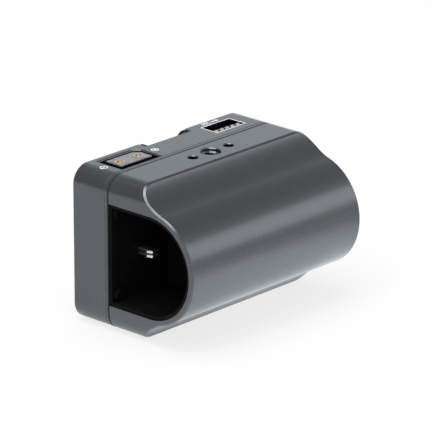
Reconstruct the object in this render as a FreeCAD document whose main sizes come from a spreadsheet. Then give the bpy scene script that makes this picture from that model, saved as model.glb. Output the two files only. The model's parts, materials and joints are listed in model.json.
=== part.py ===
import FreeCAD, Part
import math
import os
import Sketcher

# A camera power supply module: a metal front housing with a D-shaped bay, a thin middle plate
# and a rear tray with a power socket and an output socket, and the converter inside them.
# X runs along the body with the open end of the bay at -X, +Y is the back and +Z is up.
# Inside each body, y = 0 is the seam between the front housing and the middle plate.

SIZES = {
    # outer body
    "body_width": 76.0,
    "body_height": 49.8,
    "corner_radius": 5.8,
    "seam_chamfer": 0.2,
    # front housing
    "strip_depth": 12.6,
    "bay_radius": 16.4,
    "bay_axis_depth": 17.0,
    "shell_wall": 1.7,
    "sweep_radius": 17.0,
    "edge_chamfer": 0.5,
    "end_wall": 2.0,
    # mounting holes in the flat strip
    "mount_x": 1.0,
    "mount_depth": 6.0,
    "thread_radius": 3.175,
    "thread_mouth": 3.5,
    "thread_length": 6.5,
    "pin_spacing": 16.0,
    "pin_radius": 1.65,
    "pin_mouth": 1.9,
    "pin_length": 3.6,
    # middle plate and rear housing
    "plate_thickness": 1.5,
    "rear_depth": 13.5,
    "rear_wall": 2.0,
    "back_wall": 1.6,
    "back_chamfer": 0.25,
    "channel_share": 0.2645,
    "channel_depth": 3.2,
    "lip_radius": 1.0,
    "rail_width": 3.4,
    "rail_round": 2.6,
    "rail_sink": 0.25,
    "fit_gap": 0.25,
    # screws that hold the three shells together
    "screw_inset": 3.9,
    "post_radius": 2.6,
    "screw_radius": 1.25,
    "screw_clearance": 0.15,
    "screw_grip": 7.0,
    "screw_head_radius": 2.1,
    "screw_head_height": 1.6,
    "screw_head_sink": 2.0,
    # bay liner and its contact
    "liner_gap": 0.1,
    "liner_wall": 1.0,
    "liner_setback": 0.4,
    "bay_depth": 24.8,
    "liner_screw_inset": 3.0,
    "liner_screw_edge": 3.2,
    "liner_screw_radius": 0.9,
    "liner_head_radius": 1.8,
    "liner_head_height": 0.8,
    "contact_inset": 13.0,
    "contact_drop": 1.2,
    "contact_reach": 6.4,
    "blade_width": 2.6,
    "blade_thickness": 0.9,
    "blade_pitch": 1.35,
    "blade_lead": 0.3,
    "contact_flange": 1.2,
    "contact_flange_height": 0.5,
    "contact_wall": 0.8,
    "slide_gap": 0.05,
    "front_riser": 1.6,
    "riser_pitch": 1.8,
    # sockets in the top of the rear housing
    "shroud_wall": 0.5,
    "shroud_height": 8.0,
    "shroud_floor": 1.2,
    "power_width": 17.0,
    "power_key": 2.0,
    "power_lip": 0.6,
    "block_near_gap": 2.0,
    "block_far_gap": 1.3,
    "block_recess": 0.1,
    "block_key": 1.9,
    "face_height": 0.35,
    "face_inset": 0.2,
    "sleeve_pitch": 8.1,
    "sleeve_radius": 1.75,
    "sleeve_bore": 1.0,
    "sleeve_depth": 5.0,
    "sleeve_proud": 0.1,
    "tail_radius": 0.7,
    "tail_reach": 1.0,
    "output_shift": -0.3,
    "output_width": 12.6,
    "output_depth": 6.6,
    "output_offset": 0.6,
    "contact_pitch": 2.4,
    "spring_width": 1.6,
    "spring_thickness": 0.3,
    "spring_radius": 0.6,
    "spring_inset": 1.3,
    "spring_recess": 0.1,
    "spring_drop": 1.2,
    # boards
    "board_thickness": 1.6,
    "ledge_reach": 4.0,
    "ledge_height": 2.4,
    "board_gap": 2.0,
    "boss_height": 3.0,
    "boss_width": 4.4,
    "boss_inset": 3.2,
    "tenon_width": 1.8,
    "tenon_reach": 0.6,
    "link_rise": 9.4,
    "link_pitch": 2.54,
    "link_pin": 0.64,
    "link_body": 2.8,
    "link_margin": 1.3,
    # converter parts, placed from the ends and the middle height of the converter board
    "inductor_width": 11.0,
    "inductor_height": 9.0,
    "inductor_corner": 2.2,
    "inductor_inset": 10.8,
    "inductor_drop": 3.9,
    "capacitor_length": 7.4,
    "capacitor_width": 6.0,
    "capacitor_height": 4.0,
    "capacitor_pitch": 8.6,
    "capacitor_inset": 6.25,
    "capacitor_rise": 4.6,
    "chip_width": 5.0,
    "chip_height": 1.1,
    "chip_rise": 4.4,
    "pad_width": 7.0,
    "fuse_length": 7.0,
    "fuse_width": 2.6,
    "fuse_height": 2.4,
    "fuse_inset": 1.9,
}

LINK_PINS = 6
OUTPUT_CONTACTS = 5

# Expressions that several pieces share.
HALF_WIDTH = "dims.body_width / 2"
TOP = "dims.body_height"
MIDDLE = "dims.body_height / 2"
HUMP_RADIUS = "(dims.bay_radius + dims.shell_wall)"
FRONT_REACH = f"(dims.bay_axis_depth + {HUMP_RADIUS})"
REAR_REACH = "(dims.plate_thickness + dims.rear_depth)"
SEAM_Y = f"({FRONT_REACH} - {REAR_REACH}) / 2"
DEEP_BACK = f"({REAR_REACH} - dims.back_wall)"
SHALLOW_BACK = f"({DEEP_BACK} - dims.channel_depth)"
CHANNEL_LEFT = "(dims.mount_x - dims.body_width * dims.channel_share / 2)"
CHANNEL_RIGHT = "(dims.mount_x + dims.body_width * dims.channel_share / 2)"
POST_SIDE = f"({HALF_WIDTH} - dims.screw_inset - dims.post_radius)"
CEILING = "(dims.body_height - dims.rear_wall)"
# The rounded lip of the power window starts behind the chamfer at the seam.
WINDOW_FRONT = "(dims.plate_thickness + dims.seam_chamfer + dims.power_lip + dims.slide_gap)"
WINDOW_BACK = f"({DEEP_BACK} - dims.fit_gap - dims.shroud_wall)"
SOCKET_Y = f"(({WINDOW_FRONT} + {WINDOW_BACK}) / 2)"
# Each socket sits between the channel's wall and the screw posts at its end.
POWER_X = f"(({CHANNEL_LEFT} - dims.back_wall - {POST_SIDE}) / 2)"
POWER_LEFT = f"({POWER_X} - dims.power_width / 2)"
POWER_RIGHT = f"({POWER_X} + dims.power_width / 2)"
OUTPUT_X = f"(({CHANNEL_RIGHT} + dims.back_wall + {POST_SIDE}) / 2 + dims.output_shift)"
OUTPUT_LEFT = f"({OUTPUT_X} - dims.output_width / 2)"
OUTPUT_RIGHT = f"({OUTPUT_X} + dims.output_width / 2)"
OUTPUT_Y = f"({SOCKET_Y} + dims.output_offset)"
OUTPUT_FRONT = f"({OUTPUT_Y} - dims.output_depth / 2)"
OUTPUT_BACK = f"({OUTPUT_Y} + dims.output_depth / 2)"
BOARD_TOP = f"({CEILING} - dims.shroud_height)"
BOARD_BOTTOM = f"({BOARD_TOP} - dims.board_thickness)"
SOCKET_FLOOR = f"({BOARD_TOP} + dims.shroud_floor)"
FACE_BOTTOM = f"({TOP} - dims.block_recess - dims.face_height)"
CONTACT_X = f"(dims.contact_inset - {HALF_WIDTH})"
CONTACT_Z = f"({MIDDLE} - dims.contact_drop)"
LINER_END = f"(dims.bay_depth + dims.liner_wall - {HALF_WIDTH})"
CONVERTER_LEFT = f"({LINER_END} + dims.board_gap)"
CONVERTER_RIGHT = f"({HALF_WIDTH} - dims.end_wall - dims.board_gap)"
CONVERTER_X = f"(({CONVERTER_LEFT} + {CONVERTER_RIGHT}) / 2)"
CONVERTER_REACH = "(dims.bay_radius - dims.board_gap)"
CONVERTER_BACK = "(-dims.boss_height)"
CONVERTER_FRONT = "(-dims.boss_height - dims.board_thickness)"
COIL_X = f"({CONVERTER_LEFT} + dims.inductor_inset)"
CHIP_Z = f"({MIDDLE} + dims.chip_rise)"
LINK_Z = f"({MIDDLE} + dims.link_rise)"

NORMALS = {"XY_Plane": "+Z", "XZ_Plane": "-Y", "YZ_Plane": "+X"}
UP = FreeCAD.Vector(0, 0, 1)

doc = FreeCAD.newDocument("camera_power_module")
sheet = doc.addObject("Spreadsheet::Sheet", "dims")
for row, (alias, value) in enumerate(SIZES.items(), start=1):
    sheet.set(f"A{row}", alias)
    sheet.set(f"B{row}", str(value))
    sheet.setAlias(f"B{row}", alias)
doc.recompute()

sub_parts = []


def new_body(label):
    """A body whose own y = 0 is the seam; the part's origin is under the middle of its box."""
    body = doc.addObject("PartDesign::Body", label)
    body.Label = label
    body.setExpression("Placement.Base.y", SEAM_Y)
    sub_parts.append(body)
    return body


def new_sketch(body, plane, offset="0", shift="0"):
    """A sketch on one of the body's origin planes, moved along its normal and its first axis."""
    sketch = body.newObject("Sketcher::SketchObject", f"{body.Name}_sketch")
    sketch.AttachmentSupport = [(role_plane(body, plane), "")]
    sketch.MapMode = "FlatFace"
    sketch.setExpression("AttachmentOffset.Base.z", offset)
    sketch.setExpression("AttachmentOffset.Base.x", shift)
    return sketch


def role_plane(body, role):
    return [item for item in body.Origin.OriginFeatures if item.Role == role][0]


def at_y(y):
    """The offset that puts an XZ sketch at this y."""
    return f"-({y})"


def size_constraint(sketch, constraint, expression):
    index = sketch.addConstraint(constraint)
    sketch.setExpression(f"Constraints[{index}]", expression)


def place_point(sketch, geometry, point, x, y, start=(1.0, 1.0)):
    """Tie a point to the sketch's origin by two signed distances; start is where it is drawn."""
    size_constraint(sketch, Sketcher.Constraint("DistanceX", -1, 1, geometry, point, start[0]), x)
    size_constraint(sketch, Sketcher.Constraint("DistanceY", -1, 1, geometry, point, start[1]), y)


def add_polygon(sketch, corners):
    count = len(corners)
    ring = [
        FreeCAD.Vector(math.cos(2 * math.pi * k / count), math.sin(2 * math.pi * k / count), 0)
        for k in range(count)
    ]
    lines = [sketch.addGeometry(Part.LineSegment(ring[k], ring[(k + 1) % count])) for k in range(count)]
    for k in range(count):
        sketch.addConstraint(Sketcher.Constraint("Coincident", lines[k], 2, lines[(k + 1) % count], 1))
        place_point(sketch, lines[k], 1, *corners[k])


def add_rectangle(sketch, left, right, low, high):
    add_polygon(sketch, [(left, low), (right, low), (right, high), (left, high)])


def add_box_about(sketch, x, y, width, height):
    half_x = f"({width}) / 2"
    half_y = f"({height}) / 2"
    add_rectangle(sketch, f"{x} - {half_x}", f"{x} + {half_x}", f"{y} - {half_y}", f"{y} + {half_y}")


def add_circle(sketch, x, y, radius):
    circle = sketch.addGeometry(Part.Circle(FreeCAD.Vector(0, 0, 0), UP, 1.0))
    place_point(sketch, circle, 3, x, y)
    size_constraint(sketch, Sketcher.Constraint("Radius", circle, 1.0), radius)


def add_arc(sketch, centre, radius, start, end):
    """An arc given by its centre and its start and end angles in degrees."""
    circle = Part.Circle(FreeCAD.Vector(centre[0], centre[1], 0), UP, radius)
    return sketch.addGeometry(Part.ArcOfCircle(circle, math.radians(start), math.radians(end)))


def add_line(sketch, start, end):
    return sketch.addGeometry(Part.LineSegment(FreeCAD.Vector(*start, 0), FreeCAD.Vector(*end, 0)))


def add_body_outline(sketch, inset=None):
    """The rounded rectangle of the body seen from the front, or the same inset by a wall."""
    wall = SIZES[inset] if inset else 0.0
    radius_text = f"dims.corner_radius - dims.{inset}" if inset else "dims.corner_radius"
    radius = SIZES["corner_radius"] - wall
    side = SIZES["body_width"] / 2 - SIZES["corner_radius"]
    low = SIZES["corner_radius"]
    high = SIZES["body_height"] - SIZES["corner_radius"]
    side_text = f"({HALF_WIDTH} - dims.corner_radius)"
    high_text = "dims.body_height - dims.corner_radius"
    corners = [
        (side, high, 0, side_text, high_text),
        (-side, high, 90, f"-{side_text}", high_text),
        (-side, low, 180, f"-{side_text}", "dims.corner_radius"),
        (side, low, 270, side_text, "dims.corner_radius"),
    ]
    arcs = []
    for x, z, angle, x_text, z_text in corners:
        arc = add_arc(sketch, (x, z), radius, angle, angle + 90)
        place_point(sketch, arc, 3, x_text, z_text, (x, z))
        size_constraint(sketch, Sketcher.Constraint("Radius", arc, radius), radius_text)
        arcs.append(arc)
    sides = [
        ((side, high + radius), (-side, high + radius)),
        ((-side - radius, high), (-side - radius, low)),
        ((-side, low - radius), (side, low - radius)),
        ((side + radius, low), (side + radius, high)),
    ]
    for k, (start, end) in enumerate(sides):
        line = add_line(sketch, start, end)
        sketch.addConstraint(Sketcher.Constraint("Tangent", arcs[k], 2, line, 1))
        sketch.addConstraint(Sketcher.Constraint("Tangent", line, 2, arcs[(k + 1) % 4], 1))


def add_bay_outline(sketch, back, radius, back_text, radius_text):
    """The D of the bay seen along X: a half circle in front and straight sides to the back."""
    axis = -SIZES["bay_axis_depth"]
    middle = SIZES["body_height"] / 2
    arc = add_arc(sketch, (axis, middle), radius, 90, 270)
    low = add_line(sketch, (axis, middle - radius), (back, middle - radius))
    rear = add_line(sketch, (back, middle - radius), (back, middle + radius))
    high = add_line(sketch, (back, middle + radius), (axis, middle + radius))
    sketch.addConstraint(Sketcher.Constraint("Tangent", arc, 2, low, 1))
    sketch.addConstraint(Sketcher.Constraint("Coincident", low, 2, rear, 1))
    sketch.addConstraint(Sketcher.Constraint("Coincident", rear, 2, high, 1))
    sketch.addConstraint(Sketcher.Constraint("Tangent", high, 2, arc, 1))
    sketch.addConstraint(Sketcher.Constraint("Horizontal", low))
    sketch.addConstraint(Sketcher.Constraint("Horizontal", high))
    sketch.addConstraint(Sketcher.Constraint("Vertical", rear))
    place_point(sketch, arc, 3, "-dims.bay_axis_depth", MIDDLE, (axis, middle))
    size_constraint(sketch, Sketcher.Constraint("Radius", arc, radius), radius_text)
    size_constraint(sketch, Sketcher.Constraint("DistanceX", -1, 1, rear, 1, back), back_text)


def add_hump_outline(sketch):
    """The front housing's section: flat strips that sweep in a hollow curve into the round hump."""
    middle = SIZES["body_height"] / 2
    crease = (-SIZES["strip_depth"], SIZES["body_height"])
    axis = (-SIZES["bay_axis_depth"], middle)
    hump = SIZES["bay_radius"] + SIZES["shell_wall"]
    sweep = SIZES["sweep_radius"]
    # The hollow arc's centre lies hump + sweep from the axis and sweep from the crease.
    across = crease[0] - axis[0]
    rise = crease[1] - axis[1]
    span = math.hypot(across, rise)
    reach = hump + sweep
    turn = math.acos((reach**2 + span**2 - sweep**2) / (2 * reach * span))
    touch = math.atan2(rise, across) + turn
    hollow = (axis[0] + reach * math.cos(touch), axis[1] + reach * math.sin(touch))
    touch_deg = math.degrees(touch)
    crease_deg = math.degrees(math.atan2(crease[1] - hollow[1], crease[0] - hollow[0]))

    seam = add_line(sketch, (0, 0), (0, crease[1]))
    strip = add_line(sketch, (0, crease[1]), crease)
    upper = add_arc(sketch, hollow, sweep, touch_deg + 180, crease_deg + 360)
    front = add_arc(sketch, axis, hump, touch_deg, 360 - touch_deg)
    lower = add_arc(sketch, (hollow[0], 2 * middle - hollow[1]), sweep, -crease_deg, 180 - touch_deg)
    base = add_line(sketch, (crease[0], 0), (0, 0))

    sketch.addConstraint(Sketcher.Constraint("Coincident", seam, 1, -1, 1))
    sketch.addConstraint(Sketcher.Constraint("Vertical", seam))
    sketch.addConstraint(Sketcher.Constraint("Coincident", seam, 2, strip, 1))
    sketch.addConstraint(Sketcher.Constraint("Coincident", strip, 2, upper, 2))
    sketch.addConstraint(Sketcher.Constraint("Tangent", upper, 1, front, 1))
    sketch.addConstraint(Sketcher.Constraint("Tangent", front, 2, lower, 2))
    sketch.addConstraint(Sketcher.Constraint("Coincident", lower, 1, base, 1))
    sketch.addConstraint(Sketcher.Constraint("Coincident", base, 2, seam, 1))
    place_point(sketch, strip, 2, "-dims.strip_depth", TOP, crease)
    place_point(sketch, base, 1, "-dims.strip_depth", "0", (crease[0], 0.0))
    place_point(sketch, front, 3, "-dims.bay_axis_depth", MIDDLE, axis)
    size_constraint(sketch, Sketcher.Constraint("DistanceY", seam, 1, seam, 2, crease[1]), TOP)
    size_constraint(sketch, Sketcher.Constraint("Radius", front, hump), HUMP_RADIUS)
    size_constraint(sketch, Sketcher.Constraint("Radius", upper, sweep), "dims.sweep_radius")
    size_constraint(sketch, Sketcher.Constraint("Radius", lower, sweep), "dims.sweep_radius")


def sketch_normal(sketch):
    return NORMALS[sketch.AttachmentSupport[0][0].Role]


def add_pad(body, sketch, along, length):
    pad = body.newObject("PartDesign::Pad", f"{body.Name}_pad")
    pad.Profile = sketch
    pad.Reversed = along != sketch_normal(sketch)
    pad.setExpression("Length", length)
    return pad


def add_pocket(body, sketch, along, length=None):
    """A pocket of a given depth, or through everything."""
    pocket = body.newObject("PartDesign::Pocket", f"{body.Name}_pocket")
    pocket.Profile = sketch
    pocket.Reversed = along == sketch_normal(sketch)
    if length is None:
        pocket.Type = "ThroughAll"
    else:
        pocket.setExpression("Length", length)
    return pocket


def finish_edges(body, kind, length_name, length, choose):
    """Break the edges that the choose function picks with a fillet or a chamfer."""
    doc.recompute()
    base = body.Tip
    names = [f"Edge{k}" for k, edge in enumerate(base.Shape.Edges, start=1) if choose(edge)]
    finish = body.newObject(f"PartDesign::{kind}", f"{body.Name}_{kind.lower()}")
    finish.Base = (base, names)
    finish.setExpression(length_name, length)
    doc.recompute()
    return finish


def add_fillet(body, radius, choose):
    return finish_edges(body, "Fillet", "Radius", radius, choose)


def add_chamfer(body, size, choose):
    return finish_edges(body, "Chamfer", "Size", size, choose)


def on_outline(edge, y):
    """An edge of the body's rounded outline at this y."""
    slack = 0.01
    radius = SIZES["corner_radius"]
    middle = SIZES["body_height"] / 2
    for point in edge.discretize(5):
        across = abs(point.x) - SIZES["body_width"] / 2 + radius
        rise = abs(point.z - middle) - middle + radius
        outside = math.hypot(max(across, 0), max(rise, 0)) + min(max(across, rise), 0) - radius
        if abs(point.y - y) > slack or abs(outside) > slack:
            return False
    return True


def add_turned_cut(body, x, y, corners):
    """A hole turned about a vertical axis at x, y, from its half section."""
    sketch = new_sketch(body, "XZ_Plane", at_y(y), x)
    add_polygon(sketch, corners)
    groove = body.newObject("PartDesign::Groove", f"{body.Name}_groove")
    groove.Profile = sketch
    groove.ReferenceAxis = (sketch, ["V_Axis"])
    groove.Angle = 360
    return groove


def add_turned(body, x, y, corners):
    """A solid turned about a vertical axis at x, y, from its half section."""
    sketch = new_sketch(body, "XZ_Plane", at_y(y), x)
    add_polygon(sketch, corners)
    turned = body.newObject("PartDesign::Revolution", f"{body.Name}_turned")
    turned.Profile = sketch
    turned.ReferenceAxis = (sketch, ["V_Axis"])
    turned.Angle = 360
    return turned


def add_row(body, y, along, length, centres, radius):
    """Pads of equal circles in an XZ sketch."""
    sketch = new_sketch(body, "XZ_Plane", at_y(y))
    for x, z in centres:
        add_circle(sketch, x, z, radius)
    return add_pad(body, sketch, along, length)


def cut_row(body, y, along, length, centres, radius):
    """Pockets of equal circles in an XZ sketch."""
    sketch = new_sketch(body, "XZ_Plane", at_y(y))
    for x, z in centres:
        add_circle(sketch, x, z, radius)
    return add_pocket(body, sketch, along, length)


def housing_screw_places():
    side = f"({HALF_WIDTH} - dims.screw_inset)"
    heights = ("dims.screw_inset", f"({TOP} - dims.screw_inset)")
    return [(x, z) for x in (side, f"-{side}") for z in heights]


def liner_screw_places():
    x = f"(dims.liner_screw_inset - {HALF_WIDTH})"
    rise = "(dims.bay_radius - dims.liner_screw_edge)"
    return [(x, f"({MIDDLE} + {rise})"), (x, f"({MIDDLE} - {rise})")]


def boss_places():
    """Two opposite corners of the converter board."""
    reach = f"({CONVERTER_REACH} - dims.boss_inset)"
    return [
        (f"({CONVERTER_LEFT} + dims.boss_inset)", f"({MIDDLE} + {reach})"),
        (f"({CONVERTER_RIGHT} - dims.boss_inset)", f"({MIDDLE} - {reach})"),
    ]


def link_pin_places():
    first = (LINK_PINS - 1) / 2
    return [(f"({CONVERTER_X} + dims.link_pitch * {k - first})", LINK_Z) for k in range(LINK_PINS)]


def sleeve_places():
    return [f"({POWER_X} - dims.sleeve_pitch / 2)", f"({POWER_X} + dims.sleeve_pitch / 2)"]


def spring_places():
    first = (OUTPUT_CONTACTS - 1) / 2
    return [f"({OUTPUT_X} + dims.contact_pitch * {k - first})" for k in range(OUTPUT_CONTACTS)]


def blade_heights():
    half = "dims.blade_pitch / 2"
    return {"upper": f"({CONTACT_Z} + {half})", "lower": f"({CONTACT_Z} - {half})"}


def riser_places():
    front = "(dims.plate_thickness + dims.front_riser)"
    return {"upper": front, "lower": f"({front} + dims.riser_pitch)"}


def build_front_housing():
    body = new_body("front_housing")
    section = new_sketch(body, "YZ_Plane", f"-{HALF_WIDTH}")
    add_hump_outline(section)
    add_pad(body, section, "+X", "dims.body_width")

    # Everything outside the rounded end outline comes off.
    around = new_sketch(body, "XZ_Plane")
    add_body_outline(around)
    margin = "dims.corner_radius"
    add_rectangle(
        around, f"-{HALF_WIDTH} - {margin}", f"{HALF_WIDTH} + {margin}", f"-{margin}", f"{TOP} + {margin}"
    )
    add_pocket(body, around, "-Y")
    add_chamfer(body, "dims.seam_chamfer", lambda edge: on_outline(edge, 0))

    bay = new_sketch(body, "YZ_Plane", f"-{HALF_WIDTH}")
    add_bay_outline(
        bay, SIZES["plate_thickness"], SIZES["bay_radius"], "dims.plate_thickness", "dims.bay_radius"
    )
    add_pocket(body, bay, "+X", "dims.body_width - dims.end_wall")

    def on_front_rim(edge):
        """The one closed line round the hump: both creases and the two end edges."""
        axis_y = -SIZES["bay_axis_depth"]
        axis_z = SIZES["body_height"] / 2
        hump = SIZES["bay_radius"] + SIZES["shell_wall"]
        slack = 0.01
        points = edge.discretize(5)
        outside = all(math.hypot(p.y - axis_y, p.z - axis_z) > hump - slack for p in points)
        in_front = all(p.y < -SIZES["strip_depth"] + slack for p in points)
        along_x = max(p.y for p in points) - min(p.y for p in points) < slack and edge.Length > hump
        crease = abs(points[0].y + SIZES["strip_depth"]) < slack
        return outside and in_front and (crease or not along_x)

    add_chamfer(body, "dims.edge_chamfer", on_front_rim)

    add_turned_cut(body, "dims.mount_x", "-dims.mount_depth", [
        ("0", TOP),
        ("dims.thread_mouth", TOP),
        ("dims.thread_radius", f"{TOP} - (dims.thread_mouth - dims.thread_radius)"),
        ("dims.thread_radius", f"{TOP} - dims.thread_length"),
        ("0", f"{TOP} - dims.thread_length"),
    ])
    for side in ("-", "+"):
        add_turned_cut(body, f"dims.mount_x {side} dims.pin_spacing / 2", "-dims.mount_depth", [
            ("0", TOP),
            ("dims.pin_mouth", TOP),
            ("dims.pin_radius", f"{TOP} - (dims.pin_mouth - dims.pin_radius)"),
            ("dims.pin_radius", f"{TOP} - dims.pin_length"),
            ("0", f"{TOP} - dims.pin_length"),
        ])
    cut_row(body, "0", "-Y", "dims.screw_grip + dims.screw_clearance", housing_screw_places(),
            "dims.screw_radius")


def build_middle_plate():
    """The plate between the shells, with bosses whose tenons carry the converter board."""
    body = new_body("middle_plate")
    outline = new_sketch(body, "XZ_Plane")
    add_body_outline(outline)
    add_pad(body, outline, "+Y", "dims.plate_thickness")
    faces = (0, SIZES["plate_thickness"])
    add_chamfer(body, "dims.seam_chamfer", lambda edge: any(on_outline(edge, y) for y in faces))
    bosses = new_sketch(body, "XZ_Plane")
    for x, z in boss_places():
        add_box_about(bosses, x, z, "dims.boss_width", "dims.boss_width")
    add_pad(body, bosses, "-Y", "dims.boss_height")
    tenons = new_sketch(body, "XZ_Plane", at_y(CONVERTER_BACK))
    for x, z in boss_places():
        add_box_about(tenons, x, z, "dims.tenon_width", "dims.tenon_width")
    add_pad(body, tenons, "-Y", "dims.board_thickness + dims.tenon_reach")
    cut_row(body, "0", "+Y", None, housing_screw_places(), "dims.screw_radius + dims.screw_clearance")
    cut_row(body, "0", "+Y", None, liner_screw_places(), "dims.liner_screw_radius")
    slots = new_sketch(body, "XZ_Plane")
    add_box_about(slots, CONTACT_X, CONTACT_Z, f"{spigot_width()} + dims.slide_gap * 2",
                  f"{spigot_height()} + dims.slide_gap * 2")
    add_box_about(slots, CONVERTER_X, LINK_Z, f"dims.link_pitch * {LINK_PINS}", "dims.link_margin * 2")
    add_pocket(body, slots, "+Y")


def spigot_width():
    return "(dims.blade_width + dims.contact_wall * 2)"


def spigot_height():
    return "(dims.blade_pitch + dims.blade_thickness + dims.contact_wall * 2)"


def power_window():
    """The power window's corners, with its keyed corner at the back right."""
    return [
        (POWER_LEFT, WINDOW_FRONT),
        (POWER_RIGHT, WINDOW_FRONT),
        (POWER_RIGHT, f"{WINDOW_BACK} - dims.power_key"),
        (f"{POWER_RIGHT} - dims.power_key", WINDOW_BACK),
        (POWER_LEFT, WINDOW_BACK),
    ]


def build_rear_housing():
    body = new_body("rear_housing")
    outline = new_sketch(body, "XZ_Plane", at_y("dims.plate_thickness"))
    add_body_outline(outline)
    add_pad(body, outline, "+Y", "dims.rear_depth")
    add_chamfer(body, "dims.seam_chamfer", lambda edge: on_outline(edge, SIZES["plate_thickness"]))

    channel = new_sketch(body, "XZ_Plane", at_y(REAR_REACH))
    over = "dims.corner_radius"
    add_rectangle(channel, CHANNEL_LEFT, CHANNEL_RIGHT, f"-{over}", f"{TOP} + {over}")
    add_pocket(body, channel, "-Y", "dims.channel_depth")

    def on_back(edge):
        back = SIZES["plate_thickness"] + SIZES["rear_depth"]
        slack = 0.01
        return all(abs(p.y - back) < slack for p in edge.discretize(5))

    def on_lip(edge):
        """A long edge of the channel, well inside the body's sides."""
        inside = abs(edge.CenterOfMass.x) < SIZES["body_width"] / 4
        return on_back(edge) and inside and edge.BoundBox.XLength < 1

    add_fillet(body, "dims.lip_radius", on_lip)
    add_chamfer(body, "dims.back_chamfer", on_back)

    hollow = new_sketch(body, "XZ_Plane", at_y("dims.plate_thickness"))
    add_body_outline(hollow, "rear_wall")
    add_pocket(body, hollow, "+Y", f"{SHALLOW_BACK} - dims.plate_thickness")
    deep = new_sketch(body, "XZ_Plane", at_y("dims.plate_thickness"))
    side = f"({HALF_WIDTH} - dims.corner_radius)"
    add_rectangle(deep, f"-{side}", f"{CHANNEL_LEFT} - dims.back_wall", "dims.corner_radius", CEILING)
    add_rectangle(deep, f"{CHANNEL_RIGHT} + dims.back_wall", side, "dims.corner_radius", CEILING)
    add_pocket(body, deep, "+Y", f"{DEEP_BACK} - dims.plate_thickness")

    posts = new_sketch(body, "XZ_Plane", at_y("dims.plate_thickness"))
    for x, z in housing_screw_places():
        add_circle(posts, x, z, "dims.post_radius")
    add_pad(body, posts, "+Y", f"{DEEP_BACK} - dims.plate_thickness")
    ledges = new_sketch(body, "XZ_Plane", at_y("dims.plate_thickness"))
    inner = f"({HALF_WIDTH} - dims.rear_wall - dims.ledge_reach)"
    wall = f"({HALF_WIDTH} - dims.rear_wall / 2)"
    low = f"{BOARD_BOTTOM} - dims.ledge_height"
    add_rectangle(ledges, f"-{wall}", f"-{inner}", low, BOARD_BOTTOM)
    add_rectangle(ledges, inner, wall, low, BOARD_BOTTOM)
    add_pad(body, ledges, "+Y", f"{DEEP_BACK} - dims.plate_thickness")

    cut_row(body, "dims.plate_thickness", "+Y", None, housing_screw_places(),
            "dims.screw_radius + dims.screw_clearance")
    cut_row(body, REAR_REACH, "-Y", "dims.screw_head_sink", housing_screw_places(),
            "dims.screw_head_radius + dims.screw_clearance")

    windows = new_sketch(body, "XY_Plane", TOP)
    add_polygon(windows, power_window())
    add_rectangle(windows, OUTPUT_LEFT, OUTPUT_RIGHT, OUTPUT_FRONT, OUTPUT_BACK)
    add_pocket(body, windows, "-Z", "dims.rear_wall + dims.slide_gap")

    def on_power_lip(edge):
        """A top edge of the power window: on the top face, left of the channel, inside its borders."""
        slack = 0.01
        left = SIZES["corner_radius"] - SIZES["body_width"] / 2
        right = SIZES["mount_x"] - SIZES["body_width"] * SIZES["channel_share"] / 2 - SIZES["lip_radius"]
        front = SIZES["plate_thickness"] + SIZES["seam_chamfer"]
        back = SIZES["plate_thickness"] + SIZES["rear_depth"] - SIZES["back_chamfer"]
        return all(
            point.z > SIZES["body_height"] - slack
            and left + slack < point.x < right - slack
            and front + slack < point.y < back - slack
            for point in edge.discretize(5)
        )

    add_fillet(body, "dims.power_lip", on_power_lip)


def build_channel_rail(name, side):
    """A soft strip along one wall of the channel, rounded at both ends of its free edge."""
    body = new_body(f"{name}_channel_rail")
    floor = f"({REAR_REACH} - dims.channel_depth)"
    outline = new_sketch(body, "XZ_Plane", at_y(floor))
    if side < 0:
        ends = (CHANNEL_LEFT, f"{CHANNEL_LEFT} + dims.rail_width")
    else:
        ends = (f"{CHANNEL_RIGHT} - dims.rail_width", CHANNEL_RIGHT)
    add_rectangle(outline, *ends, "dims.rail_sink", f"{TOP} - dims.rail_sink")
    add_pad(body, outline, "+Y", "dims.channel_depth - dims.rail_sink")

    def on_free_end(edge):
        """An edge along y on the side that faces the channel."""
        slack = 0.01
        free = SIZES["body_width"] * SIZES["channel_share"] / 2 - SIZES["rail_width"]
        box = edge.BoundBox
        along_y = box.XLength < slack and box.ZLength < slack
        return along_y and abs(box.XMin - SIZES["mount_x"] - side * free) < slack

    add_fillet(body, "dims.rail_round", on_free_end)


def build_housing_screws():
    body = new_body("housing_screws")
    seat = f"({REAR_REACH} - dims.screw_head_sink)"
    add_row(body, seat, "+Y", "dims.screw_head_height", housing_screw_places(),
            "dims.screw_head_radius")
    add_row(body, seat, "-Y", f"{seat} + dims.screw_grip", housing_screw_places(),
            "dims.screw_radius")


def build_bay_liner():
    body = new_body("bay_liner")
    start = f"dims.liner_setback - {HALF_WIDTH}"
    outer = SIZES["bay_radius"] - SIZES["liner_gap"]
    inner = outer - SIZES["liner_wall"]
    outer_text = "dims.bay_radius - dims.liner_gap"
    shell = new_sketch(body, "YZ_Plane", start)
    add_bay_outline(shell, 0.0, outer, "0", outer_text)
    add_pad(body, shell, "+X", "dims.bay_depth + dims.liner_wall - dims.liner_setback")
    space = new_sketch(body, "YZ_Plane", start)
    add_bay_outline(
        space, -SIZES["liner_wall"], inner, "-dims.liner_wall", f"{outer_text} - dims.liner_wall"
    )
    add_pocket(body, space, "+X", "dims.bay_depth - dims.liner_setback")
    cut_row(body, "0", "-Y", "dims.liner_wall + dims.slide_gap", liner_screw_places(),
            "dims.liner_screw_radius + dims.slide_gap")
    slot = new_sketch(body, "XZ_Plane")
    add_box_about(slot, CONTACT_X, CONTACT_Z, f"{spigot_width()} + dims.slide_gap * 2",
                  f"{spigot_height()} + dims.slide_gap * 2")
    add_pocket(body, slot, "-Y", "dims.liner_wall + dims.slide_gap")


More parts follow.
